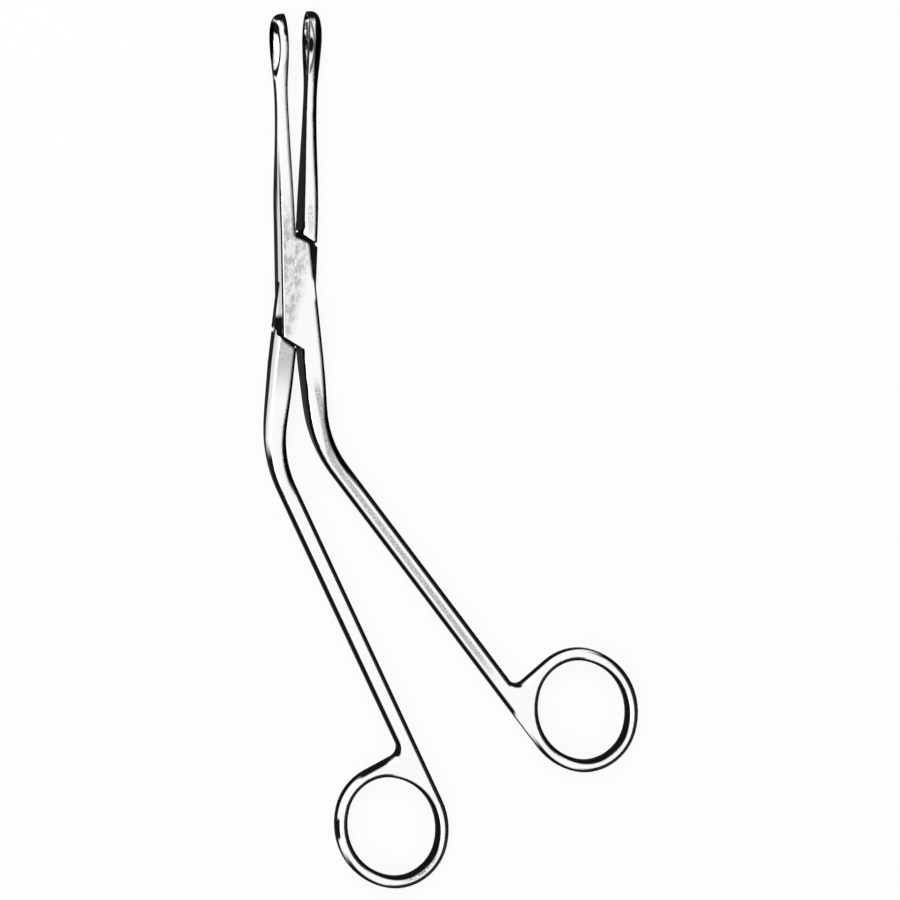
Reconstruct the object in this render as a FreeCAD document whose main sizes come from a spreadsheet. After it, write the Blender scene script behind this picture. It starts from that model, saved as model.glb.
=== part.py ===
import FreeCAD, Part
import Sketcher
import math
import os

# Tonsil forceps with a box joint, angled shanks, finger rings and fenestrated cup jaws.
# Millimetres and degrees. The pivot axis is +Z through the origin, the jaws point along +Y,
# and the flat back of the box joint lies on Z = 0. Each half is drawn with its jaw shut against
# the plane X = 0 and mid-plane at Z = 0, then turned open and lifted by its body's placement.

document = FreeCAD.newDocument("tonsil_forceps")
sheet = document.addObject("Spreadsheet::Sheet", "Sizes")

SIZES = [
    # how far each half is turned open from the shut position
    ("half_open_angle", 2.4),
    # box joint
    ("box_thickness", 5.4),
    ("tongue_thickness", 1.9),
    ("slot_clearance", 0.06),
    ("pin_diameter", 2.5),
    ("pin_clearance", 0.04),
    ("upper_half_width", 3.75),
    ("cheek_corner_inset", 0.45),
    ("lower_half_width", 4.35),
    ("upper_shoulder_reach", 10.97),
    ("upper_shoulder_angle", 32.5),
    ("lower_shoulder_reach", 10.22),
    ("lower_shoulder_angle", 36.8),
    ("shoulder_gap", 0.14),
    ("slot_wall_reach", 4.6),
    ("slot_wall_angle", 18.3),
    ("tongue_side_gap", 0.15),
    ("tongue_flare", 0.6),
    ("stub_reach", 14.5),
    ("joint_edge_round", 0.6),
    ("shoulder_edge_round", 0.2),
    # jaw shafts and cups
    ("jaw_reach", 63.0),
    ("dome_length", 5.8),
    ("cup_length", 13.0),
    ("rim_gap", 0.06),
    ("shaft_gap", 0.35),
    ("inner_edge_round", 0.3),
    ("neck_depth", 3.0),
    ("neck_width", 2.7),
    ("neck_edge_round", 1.1),
    ("cup_depth", 3.5),
    ("cup_width", 5.2),
    ("cup_edge_round", 2.2),
    ("rim_edge_round", 0.15),
    ("window_length", 12.95),
    ("window_foot_round", 0.35),
    ("window_width", 3.1),
    ("window_side_round", 8.0),
    ("window_end_wall", 1.55),
    ("window_end_width", 2.4),
    ("window_end_round", 1.1),
    ("dish_depth", 1.8),
    ("dish_margin", 0.5),
    # shanks
    ("root_reach", 15.5),
    ("root_gap", 0.3),
    ("root_width", 4.7),
    ("male_lean_angle", 3.7),
    ("female_lean_angle", 3.3),
    ("male_bend_drop", 22.3),
    ("female_bend_drop", 20.0),
    ("bend_radius", 30.0),
    ("bend_runout", 3.0),
    ("bend_width", 4.2),
    ("male_shank_angle", 27.0),
    ("female_shank_angle", 33.45),
    ("shank_end_width", 4.0),
    ("handle_thickness", 3.4),
    ("handle_edge_round", 1.35),
    ("male_handle_length", 91.25),
    ("female_handle_length", 90.75),
    # finger rings
    ("finger_hole_radius", 10.0),
    ("finger_hole_stretch", 1.97),
    ("ring_band", 2.8),
    ("ring_tilt_angle", 7.0),
    ("web_tilt_angle", 8.0),
    ("crotch_radius", 2.2),
]

for row, (alias, value) in enumerate(SIZES, start=1):
    sheet.set("A%d" % row, alias.replace("_", " "))
    sheet.set("B%d" % row, str(value))
    sheet.setAlias("B%d" % row, alias)
document.recompute()


def size(alias):
    """The number that the sheet holds under this name."""
    return float(sheet.get(alias))


# Plane geometry that the outlines need


def vector(x, y, z=0.0):
    return FreeCAD.Vector(x, y, z)


def heading(angle):
    """Unit vector that leaves -Y by this many degrees towards +X."""
    turn = math.radians(angle)
    return vector(math.sin(turn), -math.cos(turn))


def bearing(angle):
    """Unit vector at this many degrees from +X."""
    turn = math.radians(angle)
    return vector(math.cos(turn), math.sin(turn))


def quarter_turn(direction):
    """The direction turned 90 degrees counter-clockwise."""
    return vector(-direction.y, direction.x)


def meet(first, second):
    """Crossing of two lines, each a point and a direction."""
    gap = second[0] - first[0]
    across = first[1].x * second[1].y - first[1].y * second[1].x
    along = (gap.x * second[1].y - gap.y * second[1].x) / across
    return first[0] + first[1] * along


def line_at(reach, angle):
    """Line whose nearest point to the pivot lies at this reach and bearing."""
    normal = bearing(angle)
    return normal * reach, quarter_turn(normal)


def widest_reach():
    """How far from the pivot the cups are at their widest, where the domed tips begin."""
    return size("jaw_reach") - size("dome_length")


def neck_reach():
    """How far from the pivot the jaw shafts are at their thinnest."""
    return widest_reach() - size("cup_length")


def named(*aliases):
    """A length and its expression: the sum of the sizes with these names."""
    return sum(size(alias) for alias in aliases), " + ".join("Sizes." + alias for alias in aliases)


def between(first, last, share):
    """The number this share of the way from one to another."""
    return first * (1 - share) + last * share


def mixed(first, last, share):
    """A length this share of the way from one size to another."""
    return between(size(first), size(last), share)


def blend(first, last, share):
    """The same, with its expression."""
    expression = "Sizes.%s * %r + Sizes.%s * %r" % (first, 1 - share, last, share)
    return mixed(first, last, share), expression


def eased(share):
    """A share that starts and ends level."""
    return (1 - math.cos(math.pi * share)) / 2


SHARP = (0.0, "")
STRAIGHT_STEPS = 3
BEND_STEPS = 4
SHAFT_STEPS = 8
CUP_STEPS = 5
DOME_TURNS = (0, 24, 44, 60, 72, 81)

# An oval of four arcs that meet at 45 degrees: shares of the stretch in their radii
FLAT_SHARE = 1 + math.sqrt(0.5)
SHARP_SHARE = -math.sqrt(0.5)
RING_OUTSIDE = ("finger_hole_radius", "ring_band")

# Sketches: an outline is a list of corners, each a point and the named radius that rounds it


def new_sketch(body, name, role, offset=None):
    sketch = body.newObject("Sketcher::SketchObject", name)
    plane = [item for item in body.Origin.OriginFeatures if item.Role == role][0]
    sketch.AttachmentSupport = (plane, [""])
    sketch.MapMode = "FlatFace"
    if offset:
        sketch.AttachmentOffset = offset
    return sketch


def bind(sketch, expression, *constraint):
    index = sketch.addConstraint(Sketcher.Constraint(*constraint))
    sketch.setExpression("Constraints[%d]" % index, expression)


def corner_arc(before, corner, after, radius):
    """Tangent points, centre and turning sense of the arc that rounds a corner."""
    back = (before - corner).normalize()
    ahead = (after - corner).normalize()
    half = back.getAngle(ahead) / 2
    reach = radius / math.tan(half)
    centre = corner + (back + ahead).normalize() * (radius / math.sin(half))
    turns_left = back.cross(ahead).z < 0
    return corner + back * reach, corner + ahead * reach, centre, turns_left


def draw_outline(sketch, corners):
    """Draws a closed outline of lines and tangent arcs, and returns the line after each corner."""
    count = len(corners)
    arcs = []
    for index, (corner, (radius, _)) in enumerate(corners):
        before = corners[index - 1][0]
        after = corners[(index + 1) % count][0]
        if radius > 0:
            arcs.append(corner_arc(before, corner, after, radius))
        else:
            arcs.append((corner, corner, None, None))
    path = []
    lines = {}
    for index, (start, end, centre, turns_left) in enumerate(arcs):
        radius, expression = corners[index][1]
        if centre:
            first = math.atan2(start.y - centre.y, start.x - centre.x)
            last = math.atan2(end.y - centre.y, end.x - centre.x)
            circle = Part.Circle(centre, vector(0, 0, 1), radius)
            if turns_left:
                path.append((sketch.addGeometry(Part.ArcOfCircle(circle, first, last)), 1, 2))
            else:
                path.append((sketch.addGeometry(Part.ArcOfCircle(circle, last, first)), 2, 1))
            bind(sketch, expression, "Radius", path[-1][0], radius)
        following = arcs[(index + 1) % count][0]
        if (following - end).Length > 1e-6:
            lines[index] = sketch.addGeometry(Part.LineSegment(end, following))
            path.append((lines[index], 1, 2))
    for index, (item, _, tail) in enumerate(path):
        other, head, _ = path[(index + 1) % len(path)]
        both_lines = item in lines.values() and other in lines.values()
        kind = "Coincident" if both_lines else "Tangent"
        sketch.addConstraint(Sketcher.Constraint(kind, item, tail, other, head))
    return lines


def pad(body, name, sketch, expression):
    feature = body.newObject("PartDesign::Pad", name)
    feature.Profile = sketch
    feature.SideType = "Symmetric"
    feature.setExpression("Length", expression)
    return feature


def through_pocket(body, name, sketch):
    feature = body.newObject("PartDesign::Pocket", name)
    feature.Profile = sketch
    feature.SideType = "Symmetric"
    feature.Type = "ThroughAll"
    return feature


def rounded_edges(body, name, base, chosen, expression):
    """Rounds the edges of the base feature that the test picks out."""
    document.recompute()
    names = []
    for index, edge in enumerate(base.Shape.Edges, start=1):
        if chosen(edge):
            names.append("Edge%d" % index)
    feature = body.newObject("PartDesign::Fillet", name)
    feature.Base = (base, names)
    feature.setExpression("Radius", expression)
    return feature


def lies_at_height(edge, height):
    """True for an edge on the front or the back face of a flat blank."""
    levels = [vertex.Z for vertex in edge.Vertexes]
    return abs(abs(levels[0]) - height) < 1e-6 and max(levels) - min(levels) < 1e-6


# Halves: side is +1 for the male half, whose jaw is on +X, and -1 for the female half


def handle_length(side):
    """How far along the shank's edge from the bend's corner the finger ring is."""
    return size("male_handle_length") if side > 0 else size("female_handle_length")


def shank_lines(side):
    """Bend corner, centre direction and the two edge lines of the straight shank."""
    male = side > 0
    lean = size("male_lean_angle") if male else size("female_lean_angle")
    drop = size("male_bend_drop") if male else size("female_bend_drop")
    angle = size("male_shank_angle") if male else size("female_shank_angle")
    root_centre = vector(-side * (size("root_gap") + size("root_width") / 2), -size("root_reach"))
    lead = heading(-side * lean)
    corner = root_centre + lead * (drop / math.cos(math.radians(lean)))
    run = heading(angle)
    ring_way = quarter_turn(run) * -side
    end = corner + run * handle_length(side)
    edges = []
    for sign in (-1, 1):
        near = corner + ring_way * (sign * size("bend_width") / 2)
        far = end + ring_way * (sign * size("shank_end_width") / 2)
        edges.append((near, (far - near).normalize()))
    return root_centre, lead, corner, run, edges[0], edges[1]


def bend_tangent(side):
    """Length from the bend's corner to where its arc starts and ends."""
    lead, run = shank_lines(side)[1], shank_lines(side)[3]
    return size("bend_radius") * math.tan(lead.getAngle(run) / 2)


def handle_start(side):
    """Point past the bend where the straight shank begins."""
    corner, run = shank_lines(side)[2], shank_lines(side)[3]
    return corner + run * (bend_tangent(side) + size("bend_runout"))


def oval_arc(share, *widths):
    """Radius of one of the arcs of a finger ring's oval, with its expression."""
    width, expression = named(*widths)
    radius = width + size("finger_hole_stretch") * share
    return radius, "%s + Sizes.finger_hole_stretch * (%r)" % (expression, share)


def ring_axes(side):
    """Centre of the finger ring, its long direction and its short one, away from the shank."""
    foot, way = shank_lines(side)[4]
    foot = foot + way * handle_length(side)
    lean = math.degrees(math.atan2(way.y, way.x)) + side * size("ring_tilt_angle")
    long_way = bearing(lean)
    short_way = quarter_turn(long_way) * -side
    arc_centre = foot + quarter_turn(way) * (-side * oval_arc(FLAT_SHARE, *RING_OUTSIDE)[0])
    return arc_centre - short_way * (size("finger_hole_stretch") * FLAT_SHARE), long_way, short_way


def ring_line(side, angle, *widths):
    """Tangent of the ring's oval at this angle round it from the shank's side."""
    centre, long_way, short_way = ring_axes(side)
    turn = math.radians(angle)
    shift = size("finger_hole_stretch") * FLAT_SHARE
    if abs(math.cos(turn)) > abs(math.sin(turn)):
        reach = oval_arc(FLAT_SHARE, *widths)[0] - shift * abs(math.cos(turn))
    else:
        reach = oval_arc(SHARP_SHARE, *widths)[0] + shift * abs(math.sin(turn))
    normal = long_way * math.sin(turn) - short_way * math.cos(turn)
    return centre + normal * reach, quarter_turn(normal)


def ring_corners(side, angles, *widths):
    """Corners where the oval's tangents at these angles cross, with the arcs that round them."""
    corners = []
    for before, after in zip(angles, angles[1:]):
        middle = math.radians(before + after) / 2
        share = FLAT_SHARE if abs(math.cos(middle)) > abs(math.sin(middle)) else SHARP_SHARE
        corner = meet(ring_line(side, before, *widths), ring_line(side, after, *widths))
        corners.append((corner, oval_arc(share, *widths)))
    return corners


def handle(body, side):
    """Straight shank and finger ring: one flat outline, padded and rounded all round."""
    _, _, _, run, outer_edge, inner_edge = shank_lines(side)
    start = handle_start(side)
    across = (start, quarter_turn(run))
    web_angle = 270 + size("web_tilt_angle")
    angles = [size("ring_tilt_angle"), 45, 90, 135, 180, 225, web_angle]
    crotch = meet(ring_line(side, web_angle, *RING_OUTSIDE), inner_edge)
    corners = [(meet(across, outer_edge), SHARP)]
    corners += ring_corners(side, angles, *RING_OUTSIDE)
    corners += [(crotch, named("crotch_radius")), (meet(across, inner_edge), SHARP)]
    outline = new_sketch(body, "handle_outline", "XY_Plane")
    draw_outline(outline, corners)
    draw_outline(outline, ring_corners(side, range(0, 361, 45), "finger_hole_radius"))
    blank = pad(body, "handle_blank", outline, "Sizes.handle_thickness")

    def outline_edge(edge):
        middle = edge.valueAt((edge.FirstParameter + edge.LastParameter) / 2)
        off_end = abs((middle - start).dot(run)) > 1e-6
        return lies_at_height(edge, size("handle_thickness") / 2) and off_end

    rounded_edges(body, "handle_rounding", blank, outline_edge, "Sizes.handle_edge_round")


def section(body, name, role_offset, inner, outer, width, inner_round, outer_round):
    """Rounded section across a jaw shaft or shank, from its inner to its outer side."""
    sketch = new_sketch(body, name, "XZ_Plane", role_offset)
    half = width / 2
    corners = [
        (vector(inner, -half), inner_round),
        (vector(outer, -half), outer_round),
        (vector(outer, half), outer_round),
        (vector(inner, half), inner_round),
    ]
    draw_outline(sketch, corners)
    return sketch


def loft(body, name, kind, sections):
    feature = body.newObject(kind, name)
    feature.Profile = sections[0]
    feature.Sections = sections[1:]
    return feature


def bend(body, side):
    """Shank from the joint's root round the bend, thinning to the handle's section."""
    root_centre, lead, corner, run, outer_edge, inner_edge = shank_lines(side)
    straight = (corner - root_centre).Length - bend_tangent(side)
    radius = size("bend_radius")
    turn = lead.getAngle(run)
    start = handle_start(side)
    across = (start, quarter_turn(run))
    end_width = (meet(across, outer_edge) - meet(across, inner_edge)).Length
    total = straight + radius * turn + size("bend_runout")
    stations = [straight * step / STRAIGHT_STEPS for step in range(STRAIGHT_STEPS)]
    stations += [straight + radius * turn * step / BEND_STEPS for step in range(BEND_STEPS + 1)]
    stations.append(total)
    sections = []
    for number, along in enumerate(stations):
        swing = min(max(0.0, along - straight) / radius, turn)
        share = eased(along / total)
        centre = root_centre + lead * (min(along, straight) + radius * math.sin(swing))
        centre += quarter_turn(lead) * (radius * (1 - math.cos(swing)))
        if along == total:
            centre = start
        heading_now = math.degrees(math.atan2(lead.x, -lead.y) + swing)
        offset = FreeCAD.Placement(
            vector(centre.x, 0, -centre.y), FreeCAD.Rotation(vector(0, 1, 0), heading_now)
        )
        half = between(size("root_width"), end_width, share) / 2
        thickness = mixed("box_thickness", "handle_thickness", share)
        rounding = blend("joint_edge_round", "handle_edge_round", share)
        name = "bend_section_%d" % number
        sections.append(section(body, name, offset, -half, half, thickness, rounding, rounding))
    loft(body, "bend", "PartDesign::AdditiveLoft", sections)


def jaw(body, side):
    """Jaw shaft and cup, lofted from the joint's stub through the neck to the domed tip."""
    stations = []
    for step in range(SHAFT_STEPS):
        share = eased(step / SHAFT_STEPS)
        reach = between(size("stub_reach"), neck_reach(), step / SHAFT_STEPS)
        stations.append((reach, size("shaft_gap"),
                         mixed("upper_half_width", "neck_depth", share),
                         mixed("box_thickness", "neck_width", share),
                         named("inner_edge_round"),
                         blend("joint_edge_round", "neck_edge_round", share)))
    for step in range(CUP_STEPS):
        share = eased(step / CUP_STEPS)
        reach = between(neck_reach(), widest_reach(), step / CUP_STEPS)
        stations.append((reach, mixed("shaft_gap", "rim_gap", share),
                         mixed("neck_depth", "cup_depth", share),
                         mixed("neck_width", "cup_width", share),
                         blend("inner_edge_round", "rim_edge_round", share),
                         blend("neck_edge_round", "cup_edge_round", share)))
    for turn in DOME_TURNS:
        share = math.cos(math.radians(turn))
        dome = size("dome_length") * math.sin(math.radians(turn))
        radius, expression = named("cup_edge_round")
        stations.append((widest_reach() + dome, size("rim_gap"),
                         size("cup_depth") * math.sqrt(share), size("cup_width") * share,
                         named("rim_edge_round"),
                         (radius * share, "%s * %r" % (expression, share))))
    sections = []
    for number, (reach, gap, depth, width, inner_round, outer_round) in enumerate(stations):
        offset = FreeCAD.Placement(vector(0, 0, -reach), FreeCAD.Rotation())
        name = "jaw_section_%d" % number
        sections.append(section(body, name, offset, side * gap, side * depth, width,
                                inner_round, outer_round))
    loft(body, "jaw", "PartDesign::AdditiveLoft", sections)


def window_outline(body, name, side, depth, margin):
    """Leaf-shaped outline of the cup's window, drawn at this depth behind the rim."""
    offset = FreeCAD.Placement(vector(0, 0, side * depth), FreeCAD.Rotation())
    sketch = new_sketch(body, name, "YZ_Plane", offset)
    top = size("jaw_reach") - size("window_end_wall") + margin
    foot = top - size("window_length") - 3 * margin
    wide = size("window_width") / 2 + margin
    end = size("window_end_width") / 2 + margin / 2
    corners = [
        (vector(foot, 0), named("window_foot_round")),
        (vector(widest_reach(), -wide), named("window_side_round")),
        (vector(top, -end), named("window_end_round")),
        (vector(top, end), named("window_end_round")),
        (vector(widest_reach(), wide), named("window_side_round")),
    ]
    draw_outline(sketch, corners)
    return sketch


def cup_window(body, side):
    """Hollow of the cup, tapering from the rim, and the window through its back."""
    rim = window_outline(body, "dish_rim", side, 0, size("dish_margin"))
    floor = window_outline(body, "dish_floor", side, size("dish_depth"), 0)
    loft(body, "dish", "PartDesign::SubtractiveLoft", [rim, floor])
    through_pocket(body, "window", window_outline(body, "window_outline", side, 0, 0))


def shoulder(upper, gap):
    """Line of the cheeks' slanted end, or of the shoulder that faces it across this gap."""
    if upper:
        return line_at(size("upper_shoulder_reach") + gap, 90 - size("upper_shoulder_angle"))
    return line_at(size("lower_shoulder_reach") + gap, 270 - size("lower_shoulder_angle"))


def slot_wall(upper, gap):
    """Line of a wall that closes the slot at one side, or of the tongue's edge beside it."""
    angle = 180 - size("slot_wall_angle") if upper else -size("slot_wall_angle")
    return line_at(size("slot_wall_reach") - gap, angle)


def root_ends(side):
    """Points where the shank's root begins, on its outer side and on its inner side."""
    root_centre, lead = shank_lines(side)[:2]
    outward = quarter_turn(lead) * (-side * size("root_width") / 2)
    return root_centre + outward, root_centre - outward


def tongue_flare(upper, wall, outward):
    """Two corners past a shoulder where the male half's side steps out to the tongue's."""
    step = size("tongue_flare")
    foot = meet(shoulder(upper, size("shoulder_gap")), wall) + wall[1] * step
    return foot, foot + (wall[1] + outward) * step


def box_outline(side):
    """Corners of the full-thickness block round the pivot, with the stub of the jaw's shaft."""
    root_outer, root_inner = root_ends(side)
    stub = size("stub_reach")
    stub_inner = vector(side * size("shaft_gap"), stub)
    stub_outer = vector(side * size("upper_half_width"), stub)
    inner_wall = (stub_inner, vector(0, 1))
    root_wall = (root_inner, shank_lines(side)[1])
    if side < 0:
        top, bottom = shoulder(True, 0), shoulder(False, 0)
        face_x = -size("lower_half_width")
        lower_corner = meet(bottom, (vector(face_x, 0), vector(0, 1)))
        upper_x = size("upper_half_width") - size("cheek_corner_inset")
        upper_corner = meet(top, (vector(upper_x, 0), vector(0, 1)))
        return [stub_inner, stub_outer, lower_corner, meet(bottom, root_wall), root_inner,
                root_outer, upper_corner, meet(top, inner_wall)]
    gap = size("tongue_side_gap")
    upper_edge, lower_edge = slot_wall(True, gap), slot_wall(False, gap)
    top_step = meet(shoulder(True, 0), inner_wall)
    bottom_step = meet(shoulder(False, 0), root_wall)
    level = vector(1, 0)
    down = vector(0, -1)
    up = vector(-stub_outer.x - root_outer.x, -root_outer.y).normalize()
    right_foot, right_flare = tongue_flare(True, (stub_outer, down), level)
    left_foot, left_flare = tongue_flare(False, (root_outer, up), -level)
    return [stub_inner, top_step, meet(upper_edge, (top_step, level)),
            meet(upper_edge, (left_flare, up)), left_flare, left_foot, root_outer, root_inner,
            bottom_step, meet(lower_edge, (bottom_step, level)),
            meet(lower_edge, (right_flare, down)), right_flare, right_foot, stub_outer]


def box(body, side):
    """Block of the joint, with its long sides rounded as far as the shoulders."""
    corners = box_outline(side)
    outline = new_sketch(body, "box_outline", "XY_Plane")
    draw_outline(outline, [(corner, SHARP) for corner in corners])
    block = pad(body, "box_block", outline, "Sizes.box_thickness")
    outer = [(corners[1], corners[2]), (corners[5], corners[6]), (corners[3], corners[4])]
    if side > 0:
        outer = [(corners[5], corners[6]), (corners[12], corners[13]), (corners[7], corners[8])]

    def side_edge(edge):
        if not lies_at_height(edge, size("box_thickness") / 2):
            return False
        ends = [vector(vertex.X, vertex.Y) for vertex in edge.Vertexes]
        for start, end in outer:
            matches = [min((start - point).Length, (end - point).Length) < 1e-5 for point in ends]
            if all(matches):
                return True
        return False

    rounded_edges(body, "box_rounding", block, side_edge, "Sizes.joint_edge_round")


def slot(body):
    """Slot between the cheeks for the male half's tongue, open at two opposite sides."""
    sketch = new_sketch(body, "slot_outline", "XY_Plane")
    upper_point, upper_way = slot_wall(True, 0)
    lower_point, lower_way = slot_wall(False, 0)
    length = size("stub_reach") + size("root_reach")
    corners = [upper_point + upper_way * length, upper_point - upper_way * length,
               lower_point + lower_way * length, lower_point - lower_way * length]
    draw_outline(sketch, [(corner, SHARP) for corner in corners])
    feature = body.newObject("PartDesign::Pocket", "slot")
    feature.Profile = sketch
    feature.SideType = "Symmetric"
    feature.setExpression("Length", "Sizes.tongue_thickness + 2 * Sizes.slot_clearance")


def cheek_recesses(body):
    """Recesses that leave the tongue between two shoulders, one on each face."""
    gap = size("shoulder_gap")
    top, bottom = shoulder(True, gap), shoulder(False, gap)
    length = size("stub_reach")
    corners = [top[0] + top[1] * length, top[0] - top[1] * length,
               bottom[0] + bottom[1] * length, bottom[0] - bottom[1] * length]
    for name, sign in (("front_recess", 1), ("back_recess", -1)):
        level = vector(0, 0, sign * size("tongue_thickness") / 2)
        offset = FreeCAD.Placement(level, FreeCAD.Rotation())
        sketch = new_sketch(body, name + "_outline", "XY_Plane", offset)
        sketch.setExpression("AttachmentOffset.Base.z", "%d * Sizes.tongue_thickness / 2" % sign)
        draw_outline(sketch, [(corner, SHARP) for corner in corners])
        feature = body.newObject("PartDesign::Pocket", name)
        feature.Profile = sketch
        feature.Type = "ThroughAll"
        feature.Reversed = sign > 0


def soften_shoulders(body, side):
    """Rounds the cheeks' slanted ends, or the shoulders that face them."""
    gap = size("shoulder_gap") if side > 0 else 0
    lines = [shoulder(True, gap), shoulder(False, gap)]

    def shoulder_edge(edge):
        if not lies_at_height(edge, size("box_thickness") / 2):
            return False
        for point, way in lines:
            offsets = [(vector(vertex.X, vertex.Y) - point).cross(way).Length for vertex in edge.Vertexes]
            if max(offsets) < 1e-4:
                return True
        return False

    rounded_edges(body, "shoulder_rounding", body.Tip, shoulder_edge, "Sizes.shoulder_edge_round")


def pin_bore(body, expression, radius):
    sketch = new_sketch(body, "pin_bore_outline", "XY_Plane")
    circle = sketch.addGeometry(Part.Circle(vector(0, 0), vector(0, 0, 1), radius))
    sketch.addConstraint(Sketcher.Constraint("Coincident", circle, 3, -1, 1))
    bind(sketch, expression, "Radius", circle, radius)
    through_pocket(body, "pin_bore", sketch)


def half(name, side):
    body = document.addObject("PartDesign::Body", name)
    body.Label = name
    handle(body, side)
    box(body, side)
    bend(body, side)
    jaw(body, side)
    cup_window(body, side)
    if side < 0:
        slot(body)
        pin_bore(body, "Sizes.pin_diameter / 2", size("pin_diameter") / 2)
    else:
        cheek_recesses(body)
        pin_bore(body, "Sizes.pin_diameter / 2 + Sizes.pin_clearance",
                 size("pin_diameter") / 2 + size("pin_clearance"))
    soften_shoulders(body, side)
    angle = -side * size("half_open_angle")
    body.Placement = FreeCAD.Placement(vector(0, 0, 0), FreeCAD.Rotation(vector(0, 0, 1), angle))
    body.setExpression("Placement.Base.z", "Sizes.box_thickness / 2")
    return body


def pivot_pin():
    pin = document.addObject("Part::Cylinder", "pivot_pin")
    pin.Label = "pivot_pin"
    pin.setExpression("Radius", "Sizes.pin_diameter / 2")
    pin.setExpression("Height", "Sizes.box_thickness")
    return pin


pieces = [half("female_half", -1), half("male_half", 1), pivot_pin()]
document.recompute()

for item in document.Objects:
    if "Invalid" in item.State or "Error" in item.State:
        raise RuntimeError("%s did not build: %s" % (item.Name, item.State))
for piece in pieces:
    if piece.Shape.isNull() or not piece.Shape.isValid() or len(piece.Shape.Solids) != 1:
        raise RuntimeError("%s is not one sound solid" % piece.Label)
    print(piece.Label, round(piece.Shape.Volume, 2), piece.Shape.BoundBox)

os.makedirs("parts", exist_ok=True)
for piece in pieces:
    piece.Shape.exportStep("parts/%s.step" % piece.Label)
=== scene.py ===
import math

import bpy
from mathutils import Matrix, Vector


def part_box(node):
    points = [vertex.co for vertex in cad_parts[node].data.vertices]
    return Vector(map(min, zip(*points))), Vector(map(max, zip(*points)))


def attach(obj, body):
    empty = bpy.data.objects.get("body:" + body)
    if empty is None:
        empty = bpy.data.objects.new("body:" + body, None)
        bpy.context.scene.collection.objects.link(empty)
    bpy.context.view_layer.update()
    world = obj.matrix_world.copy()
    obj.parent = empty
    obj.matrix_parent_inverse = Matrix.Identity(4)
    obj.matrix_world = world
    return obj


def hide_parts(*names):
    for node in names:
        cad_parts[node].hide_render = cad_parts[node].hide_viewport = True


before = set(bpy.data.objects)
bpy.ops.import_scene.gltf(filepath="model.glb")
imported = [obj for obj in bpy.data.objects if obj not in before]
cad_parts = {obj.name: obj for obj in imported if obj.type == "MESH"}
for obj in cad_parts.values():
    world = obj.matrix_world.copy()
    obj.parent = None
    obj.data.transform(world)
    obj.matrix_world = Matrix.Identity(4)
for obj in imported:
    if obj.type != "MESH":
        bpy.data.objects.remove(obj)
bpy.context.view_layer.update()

# Camera. A very long lens far above the instrument, turned to its left and towards the jaws, so
# that the left flanks of the shanks and of the joint show. Views from other sides keep the lens,
# and with a longer one the instrument would lie past their far limit.

PHOTO_SPAN = 0.198
LENS_MM = 1600
FILM_MM = 36
CLIP_END = 100
SIDE_TURN = math.radians(20)
TOP_TURN = math.radians(15)
PIVOT_FROM_CENTRE = (-0.03392, 0.03531)

bpy.ops.object.select_all(action="DESELECT")
pivot = (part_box("pivot_pin")[0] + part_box("pivot_pin")[1]) / 2
to_camera = Vector((-math.sin(SIDE_TURN) * math.cos(TOP_TURN), math.sin(TOP_TURN),
                    math.cos(SIDE_TURN) * math.cos(TOP_TURN)))
right = Vector((math.cos(SIDE_TURN), 0, math.sin(SIDE_TURN)))
up = to_camera.cross(right)
aim = pivot - right * PIVOT_FROM_CENTRE[0] - up * PIVOT_FROM_CENTRE[1]
camera_data = bpy.data.cameras.new("catalogue_camera")
camera_data.lens = LENS_MM
camera_data.sensor_width = FILM_MM
camera_data.clip_end = CLIP_END
camera = bpy.data.objects.new("catalogue_camera", camera_data)
bpy.context.scene.collection.objects.link(camera)
camera.location = aim + to_camera * (PHOTO_SPAN * LENS_MM / FILM_MM)
camera.rotation_euler = Matrix((right, up, to_camera)).transposed().to_euler()
bpy.context.scene.camera = camera

# Floor. A wide matt white sheet under the instrument. It shows as white to the camera and in
# the steel, and keeps part of its own shade, so that the instrument's shadow stays on it.

FLOOR_SIZE = 6
FLOOR_DROP = 0.00005
FLOOR_SHADE = (0.9, 0.9, 0.9, 1)
FLOOR_GLOW = 0.9
FLOOR_GLOW_IN_STEEL = 0.95
WHITE = (1, 1, 1, 1)


def add_math(tree, operation, *values):
    """Adds a Math node on these sockets or numbers, and returns its output."""
    node = tree.nodes.new("ShaderNodeMath")
    node.operation = operation
    for socket, value in zip(node.inputs, values):
        if isinstance(value, (int, float)):
            socket.default_value = value
        else:
            tree.links.new(value, socket)
    return node.outputs[0]


def add_mirror_ray(tree, path):
    """1 for a ray that a polished or clear surface throws on, and 0 for any other."""
    return add_math(tree, "MAXIMUM", path.outputs["Is Glossy Ray"],
                    path.outputs["Is Transmission Ray"])


bpy.ops.mesh.primitive_plane_add(size=FLOOR_SIZE, location=(0, 0, -FLOOR_DROP))
floor = bpy.context.active_object
floor.name = "floor"

floor_material = bpy.data.materials.new("floor_white")
floor_material.use_nodes = True
tree = floor_material.node_tree
tree.nodes.clear()
output = tree.nodes.new("ShaderNodeOutputMaterial")
mix = tree.nodes.new("ShaderNodeMixShader")
shade = tree.nodes.new("ShaderNodeBsdfDiffuse")
shade.inputs["Color"].default_value = FLOOR_SHADE
white = tree.nodes.new("ShaderNodeEmission")
white.inputs["Color"].default_value = WHITE
path = tree.nodes.new("ShaderNodeLightPath")
mirrored = add_math(tree, "MULTIPLY", add_mirror_ray(tree, path), FLOOR_GLOW_IN_STEEL)
glow = add_math(tree, "MULTIPLY_ADD", path.outputs["Is Camera Ray"], FLOOR_GLOW, mirrored)
tree.links.new(glow, mix.inputs["Fac"])
tree.links.new(shade.outputs[0], mix.inputs[1])
tree.links.new(white.outputs[0], mix.inputs[2])
tree.links.new(mix.outputs[0], output.inputs["Surface"])
floor.data.materials.append(floor_material)

# Light. Two large soft boxes and a plain surround. The camera sees the surround as white. The
# steel mirrors it as a photographer's white tent that is open, and so dark, on the right.

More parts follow.
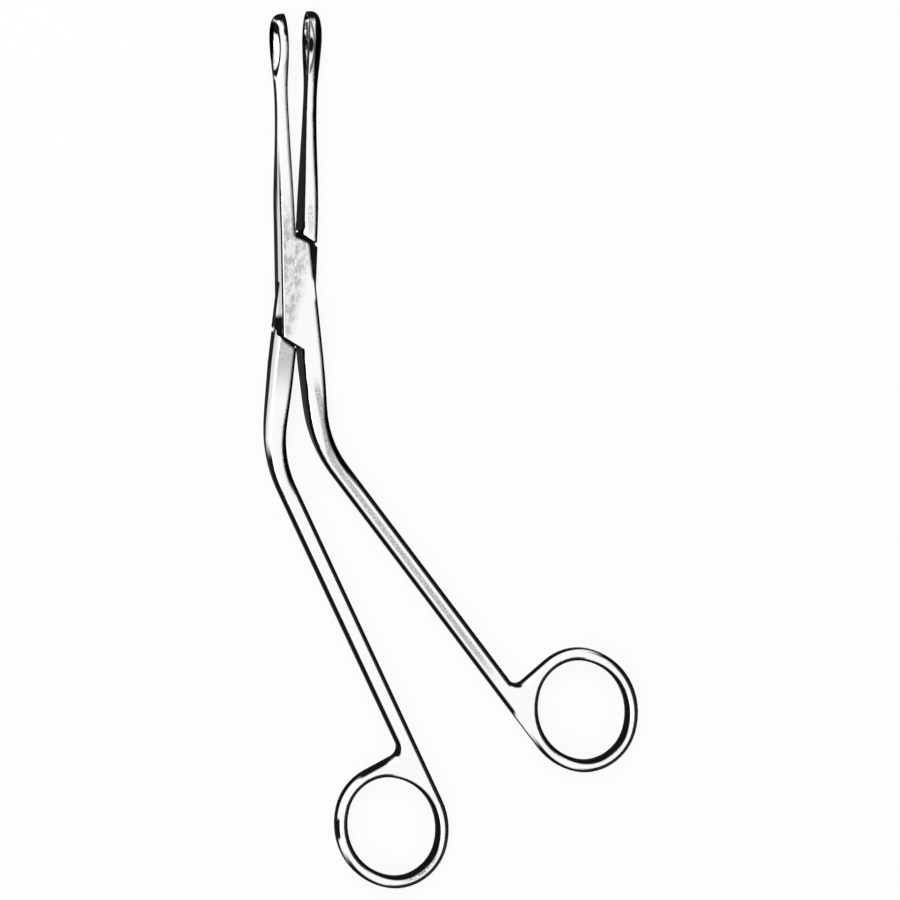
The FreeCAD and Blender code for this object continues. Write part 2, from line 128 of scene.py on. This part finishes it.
TENT_SIDE = (-1, 0.5, 0)
TENT_EDGE = -0.6
TENT_SOFTNESS = 0.05
TENT_DARK = (0.02, 0.02, 0.02, 1)
FILL_LEVEL = 0.6


def add_step(tree, value, low, high):
    """Adds a smooth step from 0 to 1 as the value goes from low to high."""
    node = tree.nodes.new("ShaderNodeMapRange")
    node.interpolation_type = "SMOOTHSTEP"
    node.inputs["From Min"].default_value = low
    node.inputs["From Max"].default_value = high
    tree.links.new(value, node.inputs["Value"])
    return node.outputs["Result"]


def add_vector(tree, operation, first, second=None):
    """Adds a Vector Math node, and returns it."""
    node = tree.nodes.new("ShaderNodeVectorMath")
    node.operation = operation
    tree.links.new(first, node.inputs[0])
    if isinstance(second, tuple):
        node.inputs[1].default_value = second
    elif second is not None:
        tree.links.new(second, node.inputs[1])
    return node


def add_tint(tree, amount, low, high):
    """Adds a colour between these two, and returns it."""
    tint = tree.nodes.new("ShaderNodeMix")
    tint.data_type = "RGBA"
    tint.inputs[6].default_value = low
    tint.inputs[7].default_value = high
    tree.links.new(amount, tint.inputs[0])
    return tint.outputs[2]


world = bpy.data.worlds.new("surround")
bpy.context.scene.world = world
world.use_nodes = True
tree = world.node_tree
tree.nodes.clear()
output = tree.nodes.new("ShaderNodeOutputWorld")
direction = tree.nodes.new("ShaderNodeTexCoord")
reach = add_vector(tree, "DOT_PRODUCT", direction.outputs["Generated"], TENT_SIDE)
tent = add_step(tree, reach.outputs["Value"], TENT_EDGE - TENT_SOFTNESS,
                TENT_EDGE + TENT_SOFTNESS)
mirrored = tree.nodes.new("ShaderNodeBackground")
tree.links.new(add_tint(tree, tent, TENT_DARK, WHITE), mirrored.inputs["Color"])
fill = tree.nodes.new("ShaderNodeBackground")
fill.inputs["Color"].default_value = WHITE
fill.inputs["Strength"].default_value = FILL_LEVEL
white = tree.nodes.new("ShaderNodeBackground")
white.inputs["Color"].default_value = WHITE
path = tree.nodes.new("ShaderNodeLightPath")
in_steel = tree.nodes.new("ShaderNodeMixShader")
tree.links.new(add_mirror_ray(tree, path), in_steel.inputs["Fac"])
tree.links.new(fill.outputs[0], in_steel.inputs[1])
tree.links.new(mirrored.outputs[0], in_steel.inputs[2])
mix = tree.nodes.new("ShaderNodeMixShader")
tree.links.new(path.outputs["Is Camera Ray"], mix.inputs["Fac"])
tree.links.new(in_steel.outputs[0], mix.inputs[1])
tree.links.new(white.outputs[0], mix.inputs[2])
tree.links.new(mix.outputs[0], output.inputs["Surface"])


def soft_box(name, place, width, power):
    """Adds a square lamp that faces the instrument."""
    lamp_data = bpy.data.lights.new(name, "AREA")
    lamp_data.shape = "SQUARE"
    lamp_data.size = width
    lamp_data.energy = power
    lamp = bpy.data.objects.new(name, lamp_data)
    bpy.context.scene.collection.objects.link(lamp)
    lamp.location = place
    lamp.rotation_euler = (Vector(place) - aim).to_track_quat("Z", "Y").to_euler()


soft_box("key_box", (-0.5, 0.9, 1.0), 0.7, 8)
soft_box("fill_box", (-0.9, -0.6, 1.0), 0.9, 5)

bpy.context.scene.view_settings.view_transform = "Standard"

# Female half. One stainless forging: cup, shaft, two cheeks, shank and finger ring. Its faces are
# polished bright. Its rounded edges and the flanks below the joint are painted dark as shade and
# reflection, with painted dark lines along the right edges and the tip, and painted shade in the
# slot, in the ring's crotch and on the ring, around the window and in the cup. The cheeks carry
# an uneven satin and the shank a satin stripe, both rougher and painted greyer as a reflection.
# All marks are placed in millimetres from the pivot.

BRIGHT = (0.96, 0.96, 0.965, 1)
# Painted shade: the colour the steel is turned towards on its edges, flanks and hollows, and
# partly on its buffed faces as a painted reflection.
SHADE_PAINT_COLOUR = (0.008, 0.008, 0.009, 1)
EDGE_TINT = (0.5, 0.5, 0.5, 1)
POLISH_ROUGHNESS = 0.1
SATIN_ROUGHNESS = 0.22
MM_PER_M = 1000
GRIND_GRAIN = (0.07, 0.5, 0.07)
GRIND_DETAIL = 4
GRIND_ROUGHNESS = 0.05
GRIND_STRENGTH = 0.04
GRIND_DEPTH = 0.00002
LINE_REACH = 0.0013
LINE_SAMPLES = 8
WELD = 0.000002
EDGE_ANGLE = math.radians(40)
FLAT_AREA = 0.000001
FLAT_TURN = math.cos(math.radians(10))
FEMALE_RING = (66.96, -102.18, 0)
RING_REACH = 15.5
UNSHADED_SIDE = (-0.8, 0.6, 0)
LOW_WALL = 2.9
SHAFT_LOW_WALL = 3.55
WALL_BLUR = 0.15
PIN_REACH = 4.5
SPOT_BLUR = 0.6
ROUNDED_LEVEL = (0.95, 0.82)
FACE_LEVEL = (0.97, 0.995)
LEFT_TILT = (-0.1, -0.2)
LINE_TILT = (0.03, 0.1)
LINE_END = (-48, -42)
TIP_TILT = (0.4, 0.55)
TIP_START = (59, 60)
SLOT_REACH = (14, 13)
SLOT_TOP = (4.0, 3.8)
SLOT_FOOT = (1.2, 1.4)
SLOT_LEVEL = (0.5, 0.7)
CUP_START = (46, 47)
CUP_FLOOR = (2.8, 2.6)
# Painted shade on the rings, broken up by noise.
RING_SHADE_GRAIN = (0.5, 0.5, 0.5)
RING_SHADE_AMOUNT = (0.4, 0.55)
RING_SHADE_DEPTH = 0.85
CLOUD_GRAIN = (0.9, 1.6, 1)
CLOUD_AMOUNT = (0.38, 0.64)
CLOUD_SPREAD = 0.35
CLOUD_LEAST = 0.12
CHEEK_LEAN = 0.25
CHEEK_SIDE = (1.8, -1.2)
STIPPLE_AMOUNT = (0.3, 0.6)
STIPPLE_DETAIL = 3
FEMALE_SHANK_LINE = (-0.7208, -20.48)
FEMALE_ROOT_LINE = (-0.2, -0.36)
BEND_BLEND = 2


def dressed_half(node, name, body):
    """Copies a half with its facets joined, so that its rounded edges mirror smoothly. Its flat
    faces keep their own slope where a rounded edge ends on them."""
    bpy.ops.object.select_all(action="DESELECT")
    half = bpy.data.objects.new(name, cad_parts[node].data.copy())
    bpy.context.scene.collection.objects.link(half)
    bpy.context.view_layer.objects.active = half
    half.select_set(True)
    bpy.ops.object.mode_set(mode="EDIT")
    bpy.ops.mesh.select_all(action="SELECT")
    bpy.ops.mesh.remove_doubles(threshold=WELD)
    bpy.ops.object.mode_set(mode="OBJECT")
    bpy.ops.object.shade_smooth_by_angle(angle=EDGE_ANGLE)
    bpy.ops.object.modifier_add(type="WEIGHTED_NORMAL")
    half.modifiers[-1].keep_sharp = True
    bpy.ops.object.modifier_apply(modifier=half.modifiers[-1].name)
    half.select_set(False)
    slopes = [corner.vector.copy() for corner in half.data.corner_normals]
    for face in half.data.polygons:
        for corner in face.loop_indices:
            if face.area > FLAT_AREA and slopes[corner].dot(face.normal) < FLAT_TURN:
                slopes[corner] = face.normal.copy()
    half.data.normals_split_custom_set(slopes)
    half.data.materials.clear()
    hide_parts(node)
    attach(half, body)
    return half


def both(tree, first, *others):
    """1 where all of these masks are 1."""
    for other in others:
        first = add_math(tree, "MULTIPLY", first, other)
    return first


def either(tree, first, *others):
    """1 where any of these masks is 1."""
    for other in others:
        first = add_math(tree, "MAXIMUM", first, other)
    return first


def outside(tree, mask):
    """1 where the mask is 0."""
    return add_math(tree, "SUBTRACT", 1, mask)


def add_noise(tree, place, grain, detail=5):
    """Adds noise with grains about this many millimetres long, and returns its value."""
    spread = add_vector(tree, "DIVIDE", place, grain)
    noise = tree.nodes.new("ShaderNodeTexNoise")
    noise.inputs["Scale"].default_value = 1
    noise.inputs["Detail"].default_value = detail
    tree.links.new(spread.outputs[0], noise.inputs["Vector"])
    return noise.outputs["Fac"]


def add_oval(tree, place, centre, reach, turn=0):
    """Adds the distance from this centre, as 1 on the rim of an oval, in millimetres."""
    offset = tree.nodes.new("ShaderNodeMapping")
    offset.vector_type = "TEXTURE"
    offset.inputs["Location"].default_value = centre
    offset.inputs["Rotation"].default_value = (0, 0, math.radians(turn))
    offset.inputs["Scale"].default_value = reach
    tree.links.new(place, offset.inputs["Vector"])
    return add_vector(tree, "LENGTH", offset.outputs[0]).outputs["Value"]


def add_spot(tree, place, centre, reach, turn=0):
    """Adds a soft oval spot, 1 in its middle and 0 at its rim."""
    return add_step(tree, add_oval(tree, place, centre, reach, turn), 1, SPOT_BLUR)


def start_steel(name):
    """Starts a steel material. Returns it with its tree, shader, place in millimetres, the
    place's parts, the slope, the slope's parts, and those parts averaged across the edges."""
    material = bpy.data.materials.new(name)
    material.use_nodes = True
    tree = material.node_tree
    shader = tree.nodes["Principled BSDF"]
    shader.inputs["Metallic"].default_value = 1
    shader.inputs["Specular Tint"].default_value = EDGE_TINT
    coordinates = tree.nodes.new("ShaderNodeTexCoord")
    place = add_vector(tree, "SCALE", coordinates.outputs["Object"])
    place.inputs["Scale"].default_value = MM_PER_M
    slope = coordinates.outputs["Normal"]
    edge = tree.nodes.new("ShaderNodeBevel")
    edge.samples = LINE_SAMPLES
    edge.inputs["Radius"].default_value = LINE_REACH
    own_edge = tree.nodes.new("ShaderNodeVectorTransform")
    own_edge.vector_type = "NORMAL"
    own_edge.convert_from = "WORLD"
    own_edge.convert_to = "OBJECT"
    tree.links.new(edge.outputs[0], own_edge.inputs[0])
    parts = []
    for vector in (place.outputs[0], slope, own_edge.outputs[0]):
        split = tree.nodes.new("ShaderNodeSeparateXYZ")
        tree.links.new(vector, split.inputs[0])
        parts.append(split.outputs)
    return material, tree, shader, place.outputs[0], parts[0], slope, parts[1], parts[2]


def finish_steel(tree, shader, place, satin_and_reflection, painted_shade):
    """Joins the masks to the shader, with fine grinding marks. Both masks make the surface
    rougher. The first, a buffed finish, also paints the colour greyer as a painted reflection;
    the second turns it towards black as painted shade.
    """
    marks = add_noise(tree, place, GRIND_GRAIN, GRIND_DETAIL)
    lit = both(tree, outside(tree, satin_and_reflection), outside(tree, painted_shade))
    # Painted shade and painted reflection: the colour runs from bright towards the shade colour
    # as the masks rise.
    tree.links.new(add_tint(tree, lit, SHADE_PAINT_COLOUR, BRIGHT), shader.inputs["Base Color"])
    rough = add_math(tree, "MULTIPLY_ADD", either(tree, satin_and_reflection, painted_shade),
                     SATIN_ROUGHNESS - POLISH_ROUGHNESS, POLISH_ROUGHNESS)
    rough = add_math(tree, "MULTIPLY_ADD", marks, GRIND_ROUGHNESS, rough)
    tree.links.new(rough, shader.inputs["Roughness"])
    bump = tree.nodes.new("ShaderNodeBump")
    bump.inputs["Strength"].default_value = GRIND_STRENGTH
    bump.inputs["Distance"].default_value = GRIND_DEPTH
    tree.links.new(marks, bump.inputs["Height"])
    tree.links.new(bump.outputs[0], shader.inputs["Normal"])


def ring_outside(tree, place, slope, level, centre):
    """1 on the rounded outer edge of a finger ring on its upper left, away from the shank, where
    the painted shade of the edges is left off and the steel keeps its bright colour."""
    spoke = add_vector(tree, "MULTIPLY", add_vector(
        tree, "SUBTRACT", place, centre).outputs[0], (1, 1, 0)).outputs[0]
    away = add_vector(tree, "NORMALIZE", spoke).outputs[0]
    outwards = add_vector(tree, "DOT_PRODUCT", slope, away).outputs["Value"]
    distance = add_vector(tree, "LENGTH", spoke).outputs["Value"]
    unshaded = add_vector(tree, "DOT_PRODUCT", away, UNSHADED_SIDE).outputs["Value"]
    return both(tree, add_step(tree, outwards, 0, 0.1), add_step(tree, level, 0.4, 0.55),
                add_step(tree, unshaded, 0.25, 0.65),
                add_step(tree, distance, RING_REACH + 1, RING_REACH))


def below(tree, height, limit):
    """1 under this limit."""
    return add_step(tree, height, limit + WALL_BLUR, limit - WALL_BLUR)


def add_slot_shade(tree, y, z, level):
    """1 on the level faces inside the joint, where the tongue lies between the cheeks: the place
    painted with shade.
    """
    return both(tree, add_step(tree, add_math(tree, "ABSOLUTE", y), *SLOT_REACH),
                add_step(tree, z, *SLOT_TOP), add_step(tree, z, *SLOT_FOOT),
                add_step(tree, level, *SLOT_LEVEL))


def add_cup_floor(tree, y, z):
    """1 low inside a cup, where the cup is painted with shade."""
    return both(tree, add_step(tree, y, *CUP_START), add_step(tree, z, *CUP_FLOOR))


def add_cloud(tree, place):
    """Adds the uneven buffing of the joint, which makes it rougher and paints it greyer, as a
    painted reflection.
    """
    cloud = add_step(tree, add_noise(tree, place, CLOUD_GRAIN), *CLOUD_AMOUNT)
    return add_math(tree, "MULTIPLY_ADD", cloud, CLOUD_SPREAD, CLOUD_LEAST)


def add_stipple(tree, place, grain):
    """Adds the fine specks of a brushed finish, which is rougher and painted greyer as a
    reflection.
    """
    return add_step(tree, add_noise(tree, place, grain, STIPPLE_DETAIL), *STIPPLE_AMOUNT)


female_half = dressed_half("female_half", "female_forging", "female_side")
female_steel, tree, shader, place, where, slope, tilt, edge = start_steel(
    "female_half_steel")
x, y, z = where["X"], where["Y"], where["Z"]
level = add_math(tree, "ABSOLUTE", tilt["Z"])
rounded = add_step(tree, level, *ROUNDED_LEVEL)

# Painted shade and reflection: rounded edges and flanks are painted dark, except the left walls
# of the cheeks and jaw shaft above the low flank and the upper left of the ring's outer edge,
# which keep the bright steel colour.
left_wall = both(tree, add_step(tree, tilt["X"], *LEFT_TILT), add_step(tree, y, -12.5, -11.5))
low_wall = either(tree, below(tree, z, LOW_WALL),
                  both(tree, below(tree, z, SHAFT_LOW_WALL), add_step(tree, y, 15, 25),
                       add_step(tree, y, 49, 48)))
rim = both(tree, add_step(tree, level, 0.1, 0.3), add_step(tree, y, 36, 22))
spared = both(tree, left_wall, outside(tree, either(tree, low_wall, rim)))
spared = either(tree, spared, ring_outside(tree, place, slope, level, FEMALE_RING))
painted_edge_shade = both(tree, rounded, outside(tree, spared))
# Painted shade: dark lines along the right-facing edges away from the pin, and along the end of
# the tip.
right_line = both(tree, add_step(tree, edge["X"], *LINE_TILT), add_step(tree, y, *LINE_END),
                  add_step(tree, add_oval(tree, place, (0, 0, 0), (1, 1, 99)),
                           PIN_REACH - 1, PIN_REACH))
tip_line = both(tree, add_step(tree, edge["Y"], *TIP_TILT), add_step(tree, y, *TIP_START))
# Painted shade on the level faces inside the slot between the cheeks.
slot = add_slot_shade(tree, y, z, level)
# Painted shade in the ring's crotch and on its lower right, where the shade is broken up by
# noise.
crotch = both(tree, add_spot(tree, place, (51.6, -91.6, 3), (7, 2.1, 9), 33), rounded)
ring_shade_noise = add_step(tree, add_noise(tree, place, RING_SHADE_GRAIN), *RING_SHADE_AMOUNT)
ring_shade = both(tree, add_spot(tree, place, (72.6, -110.8, 3), (6, 2.2, 9), 36), ring_shade_noise,
                  RING_SHADE_DEPTH)
# Painted shade: a dark line around the window, and shade in the cup.
window = add_oval(tree, place, (-5.3, 55, 4.5), (0.9, 6, 9))
window_line = both(tree, add_step(tree, window, 0.65, 0.8), add_step(tree, window, 1.2, 1.05),
                   add_step(tree, y, 48.5, 49.5))
cup_shade = either(tree, add_spot(tree, place, (-5.1, 60.2, 4.4), (0.8, 1.7, 2)),
                   add_spot(tree, place, (-2.9, 59.6, 4.6), (0.9, 1.7, 2)),
                   add_cup_floor(tree, y, z))
painted_shade = either(tree, painted_edge_shade, right_line, tip_line, slot, crotch, ring_shade, window_line,
              cup_shade)

# Buffed satin on the cheeks and a stripe down the shank: rougher, and painted greyer as a
# reflection.
cheek = both(tree, add_step(tree, y, -12, -8), add_step(tree, y, 26, 12),
             add_step(tree, add_math(tree, "SUBTRACT", x, add_math(
                 tree, "MULTIPLY", y, CHEEK_LEAN)), *CHEEK_SIDE), add_cloud(tree, place))
shank_centre = add_math(tree, "SMOOTH_MAX", add_math(tree, "MULTIPLY_ADD", y, *FEMALE_SHANK_LINE),
                        add_math(tree, "MULTIPLY_ADD", y, *FEMALE_ROOT_LINE), BEND_BLEND)
stripe = add_math(tree, "ABSOLUTE", add_math(tree, "SUBTRACT", x, shank_centre))
stripe = both(tree, add_step(tree, stripe, 0.85, 0.5), add_step(tree, y, -94, -86),
              add_step(tree, y, -19, -24))
stipple = add_stipple(tree, place, (0.3, 0.3, 0.3))
stripe = both(tree, stripe, add_math(tree, "MULTIPLY_ADD", stipple, 0.35, 0.2))
satin_and_reflection = both(tree, either(tree, cheek, stripe), add_step(tree, level, *FACE_LEVEL))
finish_steel(tree, shader, place, satin_and_reflection, painted_shade)
female_half.data.materials.append(female_steel)

# Male half. One stainless forging like the other, but with the thin tongue that passes between
# the cheeks. The tongue between the cheeks is painted dark as shade, as are the notch above the
# joint, the ring's crotch and patches on the ring; the edges, flanks, window and cup carry the
# same painted shade and reflection as the other half. The face of the shank's root and a spot on
# the jaw shaft are buffed to a satin, rougher and painted greyer as a reflection.

MALE_RING = (22.3, -124.68, 0)
SHOULDER_ACROSS = (-0.632, -0.775)
WINDOW_SHADE = 0.8

male_half = dressed_half("male_half", "male_forging", "male_side")
male_steel, tree, shader, place, where, slope, tilt, edge = start_steel("male_half_steel")
x, y, z = where["X"], where["Y"], where["Z"]
level = add_math(tree, "ABSOLUTE", tilt["Z"])
rounded = add_step(tree, level, *ROUNDED_LEVEL)

# Painted shade and reflection, as on the other half: rounded edges and flanks are painted dark,
# except the left walls of the shank's bend below the joint above the low flank and the upper left
# of the ring's outer edge.
left_wall = both(tree, add_step(tree, tilt["X"], *LEFT_TILT), add_step(tree, y, -38, -33),
                 add_step(tree, y, -7.5, -8.5))
low_wall = below(tree, z, LOW_WALL)
spared = both(tree, left_wall, outside(tree, low_wall))
spared = either(tree, spared, ring_outside(tree, place, slope, level, MALE_RING))
painted_edge_shade = both(tree, rounded, outside(tree, spared))
# Painted shade: dark lines along the right-facing edges, and along the end of the tip.
right_line = both(tree, add_step(tree, edge["X"], *LINE_TILT), add_step(tree, y, *LINE_END))
tip_line = both(tree, add_step(tree, edge["Y"], *TIP_TILT), add_step(tree, y, *TIP_START))
# Painted shade on the tongue between the cheeks.
tongue = both(tree, add_slot_shade(tree, y, z, level),
              either(tree, add_step(tree, x, -4.15, -3.85), add_step(tree, y, -4.5, -6)))
# Painted shade in the notch above the joint.
notch = add_spot(tree, place, (4.1, 10.7, 3), (1.2, 1.6, 9))
# Painted shade in the ring's crotch, on its left and on its lower right, the last broken up by
# noise.
crotch = both(tree, add_spot(tree, place, (19.2, -109.3, 3), (8.3, 2.1, 9), 36), rounded)
ring_shade_noise = add_step(tree, add_noise(tree, place, RING_SHADE_GRAIN), *RING_SHADE_AMOUNT)
ring_shade = either(tree, both(tree, add_spot(tree, place, (9.3, -123.8, 3), (1.8, 3.2, 9)),
                               rounded),
                    both(tree, add_spot(tree, place, (28.3, -134.3, 3), (5.5, 2.2, 9), 33),
                         ring_shade_noise, RING_SHADE_DEPTH))
# Painted shade: a dark line around the window, and shade in the cup.
window = add_oval(tree, place, (2.35, 55.7, 4.5), (1.2, 6.2, 9))
window_line = both(tree, add_step(tree, window, 0.7, 0.85), add_step(tree, window, 1.15, 1.05),
                   add_step(tree, x, 2.4, 2.8))
cup_shade = either(tree, add_spot(tree, place, (2.75, 56, 4.4), (0.75, 2.3, 9)),
                   both(tree, add_cup_floor(tree, y, z), add_step(tree, x, 2.95, 2.75)))
painted_shade = either(tree, painted_edge_shade, right_line, tip_line, tongue, notch, crotch, ring_shade,
              both(tree, window_line, WINDOW_SHADE), cup_shade)

# Buffed satin on the shank's root and a spot on the jaw shaft: rougher, and painted greyer as a
# reflection.
stipple = add_stipple(tree, place, (0.3, 0.5, 0.3))
past_shoulder = add_math(tree, "MULTIPLY_ADD", x, SHOULDER_ACROSS[0],
                         add_math(tree, "MULTIPLY", y, SHOULDER_ACROSS[1]))
root = both(tree, add_step(tree, y, -25, -14), add_step(tree, past_shoulder, 10.8, 11.3))
root = both(tree, root, add_math(tree, "MULTIPLY_ADD", stipple, 0.15, 0.3))
shaft = both(tree, add_spot(tree, place, (2.5, 16.5, 5), (0.8, 4.5, 9)), stipple, 0.3)
satin_and_reflection = both(tree, either(tree, root, shaft), add_step(tree, level, *FACE_LEVEL))
finish_steel(tree, shader, place, satin_and_reflection, painted_shade)
male_half.data.materials.append(male_steel)

# Pivot pin. A steel pin peened into both cheeks and ground flush with them, in the same satin,
# painted greyer as a reflection. Its side is painted dark as shade.

pin_steel, tree, shader, place, where, _, tilt, _ = start_steel("pivot_pin_steel")
level = add_math(tree, "ABSOLUTE", tilt["Z"])
satin_and_reflection = both(tree, add_cloud(tree, place), add_step(tree, where["X"], *CHEEK_SIDE))
# Painted shade on the pin's side, where its face tilts away from level.
finish_steel(tree, shader, place, satin_and_reflection, add_step(tree, level, 0.5, 0.3))
pivot_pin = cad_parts["pivot_pin"]
pivot_pin.data.materials.clear()
pivot_pin.data.materials.append(pin_steel)
